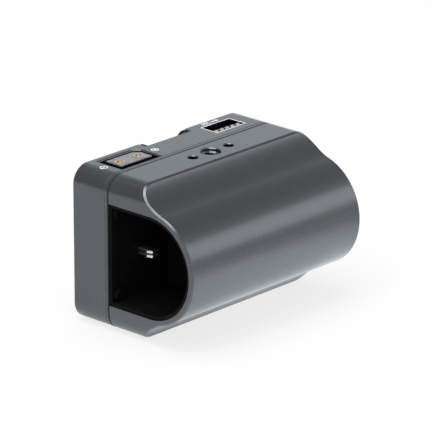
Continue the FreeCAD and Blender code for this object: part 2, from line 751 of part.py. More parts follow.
def build_liner_screws():
    body = new_body("liner_screws")
    seat = "-dims.liner_wall"
    add_row(body, seat, "-Y", "dims.liner_head_height", liner_screw_places(),
            "dims.liner_head_radius")
    add_row(body, seat, "+Y", "dims.liner_wall + dims.plate_thickness", liner_screw_places(),
            "dims.liner_screw_radius")


def build_bay_contact_base():
    body = new_body("bay_contact_base")
    flange = new_sketch(body, "XZ_Plane", at_y("-dims.liner_wall"))
    add_box_about(flange, CONTACT_X, CONTACT_Z, f"{spigot_width()} + dims.contact_flange * 2",
                  f"{spigot_height()} + dims.contact_flange * 2")
    add_pad(body, flange, "-Y", "dims.contact_flange_height")
    spigot = new_sketch(body, "XZ_Plane", at_y("-dims.liner_wall"))
    add_box_about(spigot, CONTACT_X, CONTACT_Z, spigot_width(), spigot_height())
    add_pad(body, spigot, "+Y", "dims.liner_wall + dims.plate_thickness")
    slots = new_sketch(body, "XZ_Plane", at_y("dims.plate_thickness"))
    for height in blade_heights().values():
        add_box_about(slots, CONTACT_X, height, "dims.blade_width + dims.slide_gap * 2",
                      "dims.blade_thickness + dims.slide_gap * 2")
    add_pocket(body, slots, "-Y")


def build_bay_contact(name):
    """A bent strip: a blade in the bay, a run through the plate and a riser to the board."""
    body = new_body(f"bay_contact_{name}")
    height = blade_heights()[name]
    riser = riser_places()[name]
    low = f"{height} - dims.blade_thickness / 2"
    high = f"{height} + dims.blade_thickness / 2"
    tip = "-(dims.liner_wall + dims.contact_reach)"
    lead = "dims.blade_lead"
    side = new_sketch(body, "YZ_Plane", f"{CONTACT_X} - dims.blade_width / 2")
    add_polygon(side, [
        (tip, f"{low} + {lead}"),
        (f"{tip} + {lead}", low),
        (f"{riser} + dims.blade_thickness", low),
        (f"{riser} + dims.blade_thickness", f"{BOARD_TOP} - dims.slide_gap"),
        (riser, f"{BOARD_TOP} - dims.slide_gap"),
        (riser, high),
        (f"{tip} + {lead}", high),
        (tip, f"{high} - {lead}"),
    ])
    add_pad(body, side, "+X", "dims.blade_width")


def build_power_socket_shroud():
    body = new_body("power_socket_shroud")
    outside = new_sketch(body, "XY_Plane", CEILING)
    wall = "dims.shroud_wall"
    add_rectangle(outside, f"{POWER_LEFT} - {wall}", f"{POWER_RIGHT} + {wall}",
                  f"{WINDOW_FRONT} - {wall}", f"{WINDOW_BACK} + {wall}")
    add_pad(body, outside, "-Z", "dims.shroud_height")
    inside = new_sketch(body, "XY_Plane", CEILING)
    add_polygon(inside, power_window())
    add_pocket(body, inside, "-Z", "dims.shroud_height - dims.shroud_floor")
    tails = new_sketch(body, "XY_Plane", CEILING)
    for x in sleeve_places():
        add_circle(tails, x, SOCKET_Y, "dims.tail_radius + dims.slide_gap")
    add_pocket(body, tails, "-Z")


def add_power_block(body, low, height, inset):
    """A block round both sleeves, keyed by one corner cut off at its positive end."""
    left = f"{POWER_LEFT} + dims.block_near_gap + {inset}"
    right = f"{POWER_RIGHT} - dims.block_far_gap - {inset}"
    front = f"{WINDOW_FRONT} + dims.block_near_gap + {inset}"
    back = f"{WINDOW_BACK} - dims.block_far_gap - {inset}"
    outline = new_sketch(body, "XY_Plane", low)
    add_polygon(outline, [
        (left, front),
        (right, front),
        (right, f"{back} - dims.block_key"),
        (f"{right} - dims.block_key", back),
        (left, back),
    ])
    add_pad(body, outline, "+Z", height)
    bores = new_sketch(body, "XY_Plane", TOP)
    for x in sleeve_places():
        add_circle(bores, x, SOCKET_Y, "dims.sleeve_radius + dims.slide_gap")
    add_pocket(body, bores, "-Z")


def build_power_socket_body():
    body = new_body("power_socket_body")
    add_power_block(body, SOCKET_FLOOR, f"{FACE_BOTTOM} - {SOCKET_FLOOR}", "0")


def build_power_socket_face():
    """The light plate on top of the block."""
    body = new_body("power_socket_face")
    add_power_block(body, FACE_BOTTOM, "dims.face_height", "dims.face_inset")


def build_sleeve(name, x):
    body = new_body(f"{name}_sleeve")
    top = f"{TOP} - dims.block_recess + dims.sleeve_proud"
    add_turned(body, x, SOCKET_Y, [
        ("0", f"{top} - dims.sleeve_depth"),
        ("dims.sleeve_bore", f"{top} - dims.sleeve_depth"),
        ("dims.sleeve_bore", top),
        ("dims.sleeve_radius", top),
        ("dims.sleeve_radius", SOCKET_FLOOR),
        ("dims.tail_radius", SOCKET_FLOOR),
        ("dims.tail_radius", f"{BOARD_BOTTOM} - dims.tail_reach"),
        ("0", f"{BOARD_BOTTOM} - dims.tail_reach"),
    ])


def build_output_socket_body():
    body = new_body("output_socket_body")
    wall = "dims.shroud_wall"
    outside = new_sketch(body, "XY_Plane", CEILING)
    add_rectangle(outside, f"{OUTPUT_LEFT} - {wall}", f"{OUTPUT_RIGHT} + {wall}",
                  f"{OUTPUT_FRONT} - {wall}", f"{OUTPUT_BACK} + {wall}")
    add_pad(body, outside, "-Z", "dims.shroud_height")
    inside = new_sketch(body, "XY_Plane", CEILING)
    add_rectangle(inside, OUTPUT_LEFT, OUTPUT_RIGHT, OUTPUT_FRONT, OUTPUT_BACK)
    add_pocket(body, inside, "-Z", "dims.shroud_height - dims.shroud_floor")
    tails = new_sketch(body, "XY_Plane", CEILING)
    for x in spring_places():
        add_box_about(tails, x, spring_leg_y(), "dims.spring_width + dims.slide_gap * 2",
                      "dims.spring_thickness + dims.slide_gap * 2")
    add_pocket(body, tails, "-Z")


def spring_leg_y():
    return f"({OUTPUT_FRONT} + dims.spring_inset + dims.spring_thickness / 2)"


def build_output_contact(number, x):
    """A leaf spring: a leg through the board, a round hook at the top and a short free end."""
    body = new_body(f"output_contact_{number}")
    outer = SIZES["spring_radius"]
    inner = outer - SIZES["spring_thickness"]
    crown = SIZES["body_height"] - SIZES["spring_recess"] - outer
    window_front = SIZES["plate_thickness"] + SIZES["seam_chamfer"] + SIZES["power_lip"] + SIZES["slide_gap"]
    window_back = SIZES["plate_thickness"] + SIZES["rear_depth"] - SIZES["back_wall"]
    window_back -= SIZES["fit_gap"] + SIZES["shroud_wall"]
    leg = (window_front + window_back) / 2 + SIZES["output_offset"]
    leg += SIZES["spring_inset"] - SIZES["output_depth"] / 2
    ground = SIZES["body_height"] - SIZES["rear_wall"] - SIZES["shroud_height"]
    ground -= SIZES["board_thickness"] + SIZES["tail_reach"]
    free_end = crown - SIZES["spring_drop"]
    centre_y = f"({OUTPUT_FRONT} + dims.spring_inset + dims.spring_radius)"
    centre_z = f"({TOP} - dims.spring_recess - dims.spring_radius)"
    foot = f"({BOARD_BOTTOM} - dims.tail_reach)"
    sketch = new_sketch(body, "YZ_Plane", f"{x} - dims.spring_width / 2")
    hook = add_arc(sketch, (leg + outer, crown), outer, 0, 180)
    under = add_arc(sketch, (leg + outer, crown), inner, 0, 180)
    front = add_line(sketch, (leg, crown), (leg, ground))
    sole = add_line(sketch, (leg, ground), (leg + outer - inner, ground))
    rear = add_line(sketch, (leg + outer - inner, ground), (leg + outer - inner, crown))
    drop = add_line(sketch, (leg + outer + inner, crown), (leg + outer + inner, free_end))
    tip = add_line(sketch, (leg + outer + inner, free_end), (leg + 2 * outer, free_end))
    free = add_line(sketch, (leg + 2 * outer, free_end), (leg + 2 * outer, crown))
    for first, first_end, second, second_end in (
        (front, 2, sole, 1),
        (sole, 2, rear, 1),
        (drop, 2, tip, 1),
        (tip, 2, free, 1),
    ):
        sketch.addConstraint(Sketcher.Constraint("Coincident", first, first_end, second, second_end))
    for line, line_end, arc, arc_end in (
        (front, 1, hook, 2),
        (rear, 2, under, 2),
        (drop, 1, under, 1),
        (free, 2, hook, 1),
    ):
        sketch.addConstraint(Sketcher.Constraint("Tangent", line, line_end, arc, arc_end))
    for line in (front, rear, drop, free):
        sketch.addConstraint(Sketcher.Constraint("Vertical", line))
    for line in (sole, tip):
        sketch.addConstraint(Sketcher.Constraint("Horizontal", line))
    sketch.addConstraint(Sketcher.Constraint("Coincident", hook, 3, under, 3))
    place_point(sketch, hook, 3, centre_y, centre_z, (leg + outer, crown))
    size_constraint(sketch, Sketcher.Constraint("Radius", hook, outer), "dims.spring_radius")
    size_constraint(sketch, Sketcher.Constraint("Radius", under, inner),
                    "dims.spring_radius - dims.spring_thickness")
    size_constraint(sketch, Sketcher.Constraint("DistanceY", -1, 1, sole, 1, ground), foot)
    size_constraint(sketch, Sketcher.Constraint("DistanceY", -1, 1, tip, 1, free_end),
                    f"{centre_z} - dims.spring_drop")
    add_pad(body, sketch, "+X", "dims.spring_width")


def build_connector_board():
    body = new_body("connector_board")
    outline = new_sketch(body, "XY_Plane", BOARD_BOTTOM)
    side = f"({HALF_WIDTH} - dims.rear_wall - dims.fit_gap)"
    add_rectangle(outline, f"-{side}", side, "dims.plate_thickness + dims.fit_gap",
                  f"{SHALLOW_BACK} - dims.fit_gap")
    add_pad(body, outline, "+Z", "dims.board_thickness")
    holes = new_sketch(body, "XY_Plane", BOARD_BOTTOM)
    for x in sleeve_places():
        add_circle(holes, x, SOCKET_Y, "dims.tail_radius + dims.slide_gap")
    for x in spring_places():
        add_box_about(holes, x, spring_leg_y(), "dims.spring_width + dims.slide_gap * 2",
                      "dims.spring_thickness + dims.slide_gap * 2")
    for y in riser_places().values():
        add_box_about(holes, CONTACT_X, f"({y} + dims.blade_thickness / 2)",
                      "dims.blade_width + dims.slide_gap * 2", "dims.blade_thickness + dims.slide_gap * 2")
    add_pocket(body, holes, "+Z")


def build_link_header():
    body = new_body("link_header")
    outline = new_sketch(body, "XZ_Plane", at_y("dims.plate_thickness + dims.fit_gap"))
    half = f"dims.link_pitch * {LINK_PINS / 2}"
    add_rectangle(outline, f"{CONVERTER_X} - {half}", f"{CONVERTER_X} + {half}",
                  f"{LINK_Z} - dims.link_margin", BOARD_BOTTOM)
    add_pad(body, outline, "+Y", "dims.link_body")
    holes = new_sketch(body, "XZ_Plane", at_y("dims.plate_thickness + dims.fit_gap"))
    for x, z in link_pin_places():
        add_box_about(holes, x, z, "dims.link_pin", "dims.link_pin")
    add_pocket(body, holes, "+Y", "dims.link_body / 2")


def build_link_pins():
    body = new_body("link_pins")
    start = "(dims.plate_thickness + dims.fit_gap + dims.link_body / 2)"
    pins = new_sketch(body, "XZ_Plane", at_y(start))
    for x, z in link_pin_places():
        add_box_about(pins, x, z, "dims.link_pin", "dims.link_pin")
    add_pad(body, pins, "-Y", f"{start} - {CONVERTER_FRONT} + dims.tail_reach")


def build_converter_board():
    body = new_body("converter_board")
    outline = new_sketch(body, "XZ_Plane", at_y(CONVERTER_BACK))
    add_rectangle(outline, CONVERTER_LEFT, CONVERTER_RIGHT, f"{MIDDLE} - {CONVERTER_REACH}",
                  f"{MIDDLE} + {CONVERTER_REACH}")
    add_pad(body, outline, "-Y", "dims.board_thickness")
    holes = new_sketch(body, "XZ_Plane", at_y(CONVERTER_BACK))
    mortise = "dims.tenon_width + dims.slide_gap * 2"
    for x, z in boss_places():
        add_box_about(holes, x, z, mortise, mortise)
    for x, z in link_pin_places():
        add_box_about(holes, x, z, "dims.link_pin + dims.slide_gap * 2", "dims.link_pin + dims.slide_gap * 2")
    add_pocket(body, holes, "-Y")


def build_thermal_pad():
    body = new_body("thermal_pad")
    outline = new_sketch(body, "XZ_Plane")
    add_box_about(outline, COIL_X, CHIP_Z, "dims.pad_width", "dims.pad_width")
    add_pad(body, outline, "-Y", "dims.boss_height")


def build_chip():
    body = new_body("converter_chip")
    outline = new_sketch(body, "XZ_Plane", at_y(CONVERTER_FRONT))
    add_box_about(outline, COIL_X, CHIP_Z, "dims.chip_width", "dims.chip_width")
    add_pad(body, outline, "-Y", "dims.chip_height")


def build_inductor():
    """A shielded coil: a square block with cut corners."""
    body = new_body("power_inductor")
    outline = new_sketch(body, "XZ_Plane", at_y(CONVERTER_FRONT))
    z = f"({MIDDLE} - dims.inductor_drop)"
    half = "dims.inductor_width / 2"
    short = f"({half} - dims.inductor_corner)"
    ring = [(half, short), (short, half), (f"-{short}", half), (f"-{half}", short),
            (f"-{half}", f"-{short}"), (f"-{short}", f"-{half}"), (short, f"-{half}"), (half, f"-{short}")]
    add_polygon(outline, [(f"{COIL_X} + {across}", f"{z} + {rise}") for across, rise in ring])
    add_pad(body, outline, "-Y", "dims.inductor_height")


def build_capacitor(name, x, z):
    """A moulded block on the board."""
    body = new_body(name)
    outline = new_sketch(body, "XZ_Plane", at_y(CONVERTER_FRONT))
    add_box_about(outline, x, z, "dims.capacitor_length", "dims.capacitor_width")
    add_pad(body, outline, "-Y", "dims.capacitor_height")


def build_fuse():
    body = new_body("input_fuse")
    outline = new_sketch(body, "XZ_Plane", at_y(CONVERTER_FRONT))
    z = f"({MIDDLE} - {CONVERTER_REACH} + dims.fuse_inset)"
    add_box_about(outline, COIL_X, z, "dims.fuse_length", "dims.fuse_width")
    add_pad(body, outline, "-Y", "dims.fuse_height")


def build_all():
    build_front_housing()
    build_middle_plate()
    build_rear_housing()
    build_channel_rail("left", -1)
    build_channel_rail("right", 1)
    build_housing_screws()
    build_bay_liner()
    build_liner_screws()
    build_bay_contact_base()
    for name in blade_heights():
        build_bay_contact(name)
    build_power_socket_shroud()
    build_power_socket_body()
    build_power_socket_face()
    for name, x in zip(("negative", "positive"), sleeve_places()):
        build_sleeve(name, x)
    build_output_socket_body()
    for number, x in enumerate(spring_places(), start=1):
        build_output_contact(number, x)
    build_connector_board()
    build_link_header()
    build_link_pins()
    build_converter_board()
    build_thermal_pad()
    build_chip()
    build_inductor()
    for number in (1, 2):
        x = f"({CONVERTER_RIGHT} - dims.capacitor_inset - dims.capacitor_pitch * {number - 1})"
        build_capacitor(f"input_capacitor_{number}", x, f"({MIDDLE} - dims.capacitor_rise)")
        build_capacitor(f"output_capacitor_{number}", x, f"({MIDDLE} + dims.capacitor_rise)")
    build_fuse()


def check_all():
    """Stop on any failed object, any empty or broken shape and any cut that removed nothing."""
    doc.recompute()
    for item in doc.Objects:
        if "Invalid" in item.State or "Error" in item.State:
            raise RuntimeError(f"{item.Label} failed: {item.State}")
        if item.TypeId in ("PartDesign::Pocket", "PartDesign::Groove"):
            if item.Shape.Volume >= item.BaseFeature.Shape.Volume:
                raise RuntimeError(f"{item.Label} cuts nothing")
    for body in sub_parts:
        if body.Shape.isNull() or not body.Shape.isValid() or not body.Shape.Solids:
            raise RuntimeError(f"{body.Label} has no valid shape")


def write_all():
    os.makedirs("parts", exist_ok=True)
    for body in sub_parts:
        body.Shape.exportStep(f"parts/{body.Label}.step")
        box = body.Shape.BoundBox
        print(f"{body.Label}: {len(body.Shape.Solids)} solids, {body.Shape.Volume:.1f} mm3, "
              f"x {box.XMin:.2f}..{box.XMax:.2f} y {box.YMin:.2f}..{box.YMax:.2f} "
              f"z {box.ZMin:.2f}..{box.ZMax:.2f}")


build_all()
check_all()
write_all()
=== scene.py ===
import json
import math

import bmesh
import bpy
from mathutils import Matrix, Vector


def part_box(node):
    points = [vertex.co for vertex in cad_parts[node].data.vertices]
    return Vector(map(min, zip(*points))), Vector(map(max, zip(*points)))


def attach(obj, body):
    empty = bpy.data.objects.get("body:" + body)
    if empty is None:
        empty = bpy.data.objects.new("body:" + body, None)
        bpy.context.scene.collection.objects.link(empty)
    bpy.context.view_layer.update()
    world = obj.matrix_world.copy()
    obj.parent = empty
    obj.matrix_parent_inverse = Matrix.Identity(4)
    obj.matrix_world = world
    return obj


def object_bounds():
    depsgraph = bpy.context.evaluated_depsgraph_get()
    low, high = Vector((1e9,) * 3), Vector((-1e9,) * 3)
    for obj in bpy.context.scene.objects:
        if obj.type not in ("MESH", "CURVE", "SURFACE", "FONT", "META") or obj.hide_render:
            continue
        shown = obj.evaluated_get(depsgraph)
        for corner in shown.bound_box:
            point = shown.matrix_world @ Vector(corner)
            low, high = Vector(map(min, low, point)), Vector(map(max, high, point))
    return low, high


MM = 0.001

# The camera of the photograph, in the part's frame.
CAMERA_AZIMUTH = -47.06
CAMERA_ELEVATION = 19.70
CAMERA_TARGET = Vector((5.42, 5.97, 27.07)) * MM
CAMERA_DISTANCE = 1252.7 * MM
CAMERA_LENS = 337.3
CAMERA_SENSOR = 36.0
CAMERA_CLIP_START = 0.01

# Sizes of the seam lines, which are painted shade, and of the contact noses, prints, output bar, sleeve
# springs, screw faces and thread.
CORNER_RADIUS = 5.8 * MM
SOCKET_WALL = 0.5 * MM
SEAM_WIDTH = 0.5 * MM
SEAM_PROUD = 0.01 * MM
SEAM_DEPTH = 0.25 * MM
BLADE_THICKNESS = 0.9 * MM
NOSE_LENGTH = 1.9 * MM
NOSE_RISE = 0.65 * MM
NOSE_SLANT = 0.18 * MM
NOSE_MARGIN = 0.12 * MM
NOSE_ROOT = 0.05 * MM
REAR_SEAM_WIDTH = 0.12 * MM
REAR_SEAM_SINK = 0.14 * MM
PRINT_THICKNESS = 0.03 * MM
PRINT_LINE = 0.35 * MM
POLE_MARK_RADIUS = 1.28 * MM
POLE_MARK_ARM = 0.62 * MM
MINUS_MARK = Vector((-32.2, 17.4)) * MM
PLUS_MARK = Vector((-9.55, 17.62)) * MM
OUTLINE_WIDTH = 0.34 * MM
SYMBOL_LEFT = 17.7 * MM
SYMBOL_Y = 23.3 * MM
SYMBOL_HALF_LINE = 0.28 * MM
SYMBOL_RISE = 0.46 * MM
SYMBOL_LENGTH = 3.1 * MM
SYMBOL_GAP = 1.0 * MM
ARROW_SHAFT = 1.9 * MM
ARROW_HEAD = 1.3 * MM
ARROW_WING = 0.85 * MM
BAR_GAP = 0.05 * MM
BAR_FOOT = 2.0 * MM
BAR_SINK = 0.38 * MM
SPRING_OUTER = 0.97 * MM
SPRING_INNER = 0.5 * MM
SPRING_SINK = 0.12 * MM
SPRING_MOUTH = 0.5 * MM
SPRING_LENGTH = 2.5 * MM
CAP_HEIGHT = 0.3 * MM
CAP_EDGE = 0.15 * MM
CROSS_REACH = 1.15 * MM
CROSS_HALF = 0.3 * MM
HEX_HALF = 1.0 * MM
HOUSING_SCREW_RADIUS = 2.1 * MM
SCREW_STEPS = 96
THREAD_PITCH = 1.27 * MM
THREAD_CREST = 2.72 * MM
THREAD_MOUTH = 0.95 * MM
THREAD_SINK = 0.02 * MM
THREAD_HALF = THREAD_PITCH / 2 * 0.98
THREAD_FLAT = THREAD_PITCH / 16
THREAD_END_SHARE = 0.02
CIRCLE_STEPS = 64
TINY = 1e-6

# Nodes that take another material than their slot's. The bay contacts get a brighter copy of the contact
# plating, which is a painted highlight. The contact base and the power socket's shroud and body get the
# darkest black, which is partly their own black and partly painted shade in their narrow gaps.
NODE_MATERIALS = {"bay_contact_upper": "bay_contact", "bay_contact_lower": "bay_contact",
                  "bay_contact_base": "liner", "power_socket_shroud": "liner",
                  "power_socket_body": "liner"}

# How bright the studio is, by the sine of the angle above the floor.
WALL_LEVELS = ((0.0, 0.95), (0.2, 1.15), (0.46, 1.1), (0.62, 0.75), (0.72, 0.55), (1.0, 0.55))

# The wall at the back left is dimmer: its direction, where the dimming starts and ends, and its level.
DIM_WALL = (-0.76, 0.64, 0.1)
DIM_FROM = 0.6
DIM_TO = 0.95
DIM_LEVEL = 0.5

# The white that the camera sees in the floor and its share there, and a painted pool of light that only
# reflections see in the floor: bright near the body and dim farther out.
FLOOR_WHITE = 1.13
FLOOR_WHITE_SHARE = 0.69
FLOOR_NEAR = 1.15
FLOOR_FAR = 0.38
FLOOR_MIDDLE = (0.02, -0.035, 0.0)
FLOOR_NEAR_REACH = 0.03
FLOOR_FAR_REACH = 0.1
FLOOR_HALF = 4.0
FLOOR_COLOR = (0.5, 0.5, 0.5, 1.0)
FLOOR_ROUGHNESS = 0.9

# Each lamp's place, size and power; all look at the middle of the body.
LAMPS = {
    "key_lamp": ((-0.15, 0.1, 1.15), 0.9, 8.2),
    "top_lamp": ((-0.22, -0.27, 0.96), 0.3, 1.1),
    "front_lamp": ((0.66, -0.6, 0.36), 0.4, 0.45),
    "left_lamp": ((-0.65, 0.08, 0.89), 0.5, 2.4),
}
LAMP_TARGET = Vector((0.0, 0.0, 25.0 * MM))

# How the grain is mixed: the span of raw noise, the shares and detail of fine and wide noise, the gloss.
NOISE_LOW = 0.3
NOISE_HIGH = 0.7
FINE_SHARE = 0.7
WIDE_SHARE = 0.3
FINE_DETAIL = 4.0
WIDE_DETAIL = 2.0
GLOSS_SPREAD = 0.04
BEVEL_SAMPLES = 8

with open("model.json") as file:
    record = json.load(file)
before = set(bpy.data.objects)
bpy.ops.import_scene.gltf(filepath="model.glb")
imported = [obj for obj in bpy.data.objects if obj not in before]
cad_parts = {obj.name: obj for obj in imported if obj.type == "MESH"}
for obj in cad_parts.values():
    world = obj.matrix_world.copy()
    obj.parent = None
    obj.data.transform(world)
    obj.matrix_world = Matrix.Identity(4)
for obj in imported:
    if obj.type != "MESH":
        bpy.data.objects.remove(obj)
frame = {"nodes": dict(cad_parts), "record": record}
nodes = frame["nodes"]
cad_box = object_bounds()
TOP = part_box("front_housing")[1][2]


def new_material(name):
    """An empty node material: its tree, its shader and the part's own coordinates."""
    material = bpy.data.materials.new(name)
    material.use_nodes = True
    tree = material.node_tree
    shader = tree.nodes["Principled BSDF"]
    place = tree.nodes.new("ShaderNodeTexCoord")
    return material, tree, shader, place.outputs["Object"]


def add_noise(tree, place, size, detail, stretch=(1.0, 1.0, 1.0)):
    """Noise whose features are about size metres across; stretch draws it out along an axis."""
    mapping = tree.nodes.new("ShaderNodeMapping")
    mapping.inputs["Scale"].default_value = [1.0 / (size * s) for s in stretch]
    noise = tree.nodes.new("ShaderNodeTexNoise")
    noise.inputs["Scale"].default_value = 1.0
    noise.inputs["Detail"].default_value = detail
    tree.links.new(place, mapping.inputs["Vector"])
    tree.links.new(mapping.outputs["Vector"], noise.inputs["Vector"])
    return noise.outputs["Fac"]


def add_range(tree, value, low, high):
    """Spread a noise value, which stays near one half, over low to high."""
    spread = tree.nodes.new("ShaderNodeMapRange")
    spread.inputs["From Min"].default_value = NOISE_LOW
    spread.inputs["From Max"].default_value = NOISE_HIGH
    spread.inputs["To Min"].default_value = low
    spread.inputs["To Max"].default_value = high
    tree.links.new(value, spread.inputs["Value"])
    return spread.outputs["Result"]


def add_tint(tree, value, dark, light):
    """A colour that runs from dark to light with the value."""
    mix = tree.nodes.new("ShaderNodeMix")
    mix.data_type = "RGBA"
    mix.inputs["A"].default_value = (*dark, 1.0)
    mix.inputs["B"].default_value = (*light, 1.0)
    tree.links.new(value, mix.inputs["Factor"])
    return mix.outputs["Result"]


def add_bump(tree, shader, height, depth, round_edges=0.0):
    """Fine relief, on edges that are rounded a little where round_edges says so."""
    bump = tree.nodes.new("ShaderNodeBump")
    bump.inputs["Strength"].default_value = 1.0
    bump.inputs["Distance"].default_value = depth
    tree.links.new(height, bump.inputs["Height"])
    tree.links.new(bump.outputs["Normal"], shader.inputs["Normal"])
    if round_edges:
        bevel = tree.nodes.new("ShaderNodeBevel")
        bevel.samples = BEVEL_SAMPLES
        bevel.inputs["Radius"].default_value = round_edges
        tree.links.new(bevel.outputs["Normal"], bump.inputs["Normal"])


def shade(color, factor):
    return tuple(channel * factor for channel in color)


def grained(name, color, roughness, metallic=0.0, grain=0.3 * MM, contrast=0.1, relief=0.004 * MM,
            round_edges=0.0, stretch=(1.0, 1.0, 1.0), cloud=8.0 * MM, specular=0.5,
            edge_tint=(1.0, 1.0, 1.0)):
    """A surface with fine grain in colour, gloss and relief, and a faint wide variation."""
    material, tree, shader, place = new_material(name)
    shader.inputs["Metallic"].default_value = metallic
    shader.inputs["Specular IOR Level"].default_value = specular
    shader.inputs["Specular Tint"].default_value = (*edge_tint, 1.0)
    fine = add_noise(tree, place, grain, FINE_DETAIL, stretch)
    wide = add_noise(tree, place, cloud, WIDE_DETAIL)
    both = tree.nodes.new("ShaderNodeMath")
    both.operation = "MULTIPLY_ADD"
    both.inputs[1].default_value = FINE_SHARE
    tree.links.new(fine, both.inputs[0])
    faint = tree.nodes.new("ShaderNodeMath")
    faint.operation = "MULTIPLY"
    faint.inputs[1].default_value = WIDE_SHARE
    tree.links.new(wide, faint.inputs[0])
    tree.links.new(faint.outputs["Value"], both.inputs[2])
    level = add_range(tree, both.outputs["Value"], 0.0, 1.0)
    tint = add_tint(tree, level, shade(color, 1.0 - contrast), shade(color, 1.0 + contrast))
    tree.links.new(tint, shader.inputs["Base Color"])
    gloss = add_range(tree, fine, roughness - GLOSS_SPREAD, roughness + GLOSS_SPREAD)
    tree.links.new(gloss, shader.inputs["Roughness"])
    add_bump(tree, shader, fine, relief, round_edges)
    return material


def make_materials():
    return {
        "housing": grained("anodised_metal", (0.1, 0.107, 0.115), 0.25, 1.0, 0.35 * MM, 0.06,
                           0.003 * MM, 0.12 * MM, edge_tint=(0.92, 0.97, 1.0)),
        "liner": grained("liner_plastic", (0.0045, 0.0047, 0.005), 0.6, 0.0, 0.5 * MM, 0.25, 0.004 * MM,
                         specular=0.05),
        "black_plastic": grained("black_plastic", (0.03, 0.031, 0.032), 0.5, 0.0, 0.4 * MM, 0.25,
                                 0.004 * MM, specular=0.3),
        "socket_block": grained("grey_plastic", (0.16, 0.163, 0.167), 0.45, 0.0, 0.8 * MM, 0.6, 0.006 * MM,
                                0.1 * MM, cloud=4.0 * MM),
        "gold": grained("gold_plate", (0.42, 0.365, 0.28), 0.34, 1.0, 0.4 * MM, 0.15, 0.002 * MM, 0.08 * MM,
                        (1.0, 1.0, 6.0)),
        # A darker copy of the gold plating for the springs inside the sleeves: painted shade of the
        # sleeves' bores.
        "spring_gold": grained("spring_gold", (0.24, 0.165, 0.085), 0.4, 1.0, 0.3 * MM, 0.15, 0.002 * MM,
                               0.05 * MM),
        "bright_contact": grained("nickel_plate", (0.55, 0.55, 0.55), 0.3, 1.0, 0.2 * MM, 0.06,
                                  0.002 * MM, 0.06 * MM, (8.0, 1.0, 1.0)),
        # A brighter copy of the contact plating for the bay contacts: a painted highlight.
        "bay_contact": grained("contact_plate_painted_highlight", (0.8, 0.8, 0.8), 0.3, 1.0, 0.2 * MM, 0.06,
                               0.002 * MM, 0.15 * MM),
        "rubber": grained("black_rubber", (0.006, 0.006, 0.0065), 0.7, 0.0, 0.4 * MM, 0.2, 0.008 * MM,
                          specular=0.15),
        # The seam lines' dark colour is painted shade of the gaps between the housing parts.
        "seam": grained("seam_painted_shade", (0.028, 0.029, 0.031), 0.7, 0.0, 0.4 * MM, 0.2, 0.004 * MM,
                        specular=0.15),
        "black_screw": grained("black_oxide", (0.005, 0.005, 0.0055), 0.5, 0.0, 0.3 * MM, 0.2, 0.003 * MM,
                               0.08 * MM, specular=0.05),
        "board": grained("solder_mask", (0.02, 0.1, 0.05), 0.35, 0.0, 1.2 * MM, 0.3, 0.01 * MM),
        "ferrite": grained("sintered_ferrite", (0.07, 0.07, 0.072), 0.6, 0.0, 0.25 * MM, 0.2, 0.01 * MM),
        "chip": grained("moulded_epoxy", (0.025, 0.025, 0.027), 0.55, 0.0, 0.15 * MM, 0.2, 0.006 * MM),
        "can": grained("moulded_block", (0.16, 0.12, 0.05), 0.5, 0.0, 0.2 * MM, 0.15, 0.004 * MM),
        "pad": grained("soft_pad", (0.42, 0.46, 0.5), 0.75, 0.0, 0.4 * MM, 0.1, 0.01 * MM),
        "ceramic": grained("glazed_ceramic", (0.82, 0.8, 0.74), 0.25, 0.0, 0.6 * MM, 0.05, 0.002 * MM),
        "print": grained("white_print", (0.66, 0.67, 0.68), 0.55, 0.0, 0.2 * MM, 0.05, 0.002 * MM),
    }


def dress_nodes(materials):
    """Give every CAD node the material of its slot in the record, or the one that NODE_MATERIALS gives it.
    """
    for part in frame["record"]["subparts"]:
        for slot in nodes[part["node"]].material_slots:
            slot.material = materials[NODE_MATERIALS.get(part["node"], part["material_slot"])]


def add_piece(name, mesh_builder, material):
    mesh = bpy.data.meshes.new(name)
    bm = bmesh.new()
    mesh_builder(bm)
    bmesh.ops.recalc_face_normals(bm, faces=bm.faces)
    bm.to_mesh(mesh)
    bm.free()
    piece = bpy.data.objects.new(name, mesh)
    bpy.context.scene.collection.objects.link(piece)
    piece.data.materials.append(material)
    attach(piece, "root")


def bridge(bm, rings):
    """Faces between neighbouring rings of equal length."""
    for lower, upper in zip(rings, rings[1:]):
        count = len(lower)
        for k in range(count):
            n = (k + 1) % count
            bm.faces.new((lower[k], lower[n], upper[n], upper[k]))


def add_ring(bm, points):
    return [bm.verts.new(point) for point in points]


def circle(centre, radius):
    turns = [2 * math.pi * k / CIRCLE_STEPS for k in range(CIRCLE_STEPS)]
    return [Vector((centre.x + radius * math.cos(t), centre.y + radius * math.sin(t))) for t in turns]


def rectangle(centre, half_x, half_y):
    signs = ((-1, -1), (1, -1), (1, 1), (-1, 1))
    return [Vector((centre.x + x * half_x, centre.y + y * half_y)) for x, y in signs]


def top_height(x):
    """The height of the body's top at x, also where it bends down at the rounded corners."""
    past = max(abs(x) - (cad_box[1][0] - CORNER_RADIUS), 0.0)
    return TOP - CORNER_RADIUS + math.sqrt(CORNER_RADIUS ** 2 - past ** 2)


def lay_ring(bm, outline, rise):
    """A ring of points over the top face, this far above it."""
    return add_ring(bm, [(p.x, p.y, top_height(p.x) + rise) for p in outline])


def print_band(bm, outer, inner):
    """A printed band between two closed outlines on the top face."""
    rings = [
        lay_ring(bm, outline, rise * PRINT_THICKNESS)
        for outline, rise in ((outer, -1), (outer, 1), (inner, 1), (inner, -1))
    ]
    bridge(bm, rings + rings[:1])


def print_patch(bm, outline):
    """A printed patch inside one closed outline on the top face."""
    low = lay_ring(bm, outline, -PRINT_THICKNESS)
    high = lay_ring(bm, outline, PRINT_THICKNESS)
    bridge(bm, [low, high])
    bm.faces.new(low)
    bm.faces.new(high)


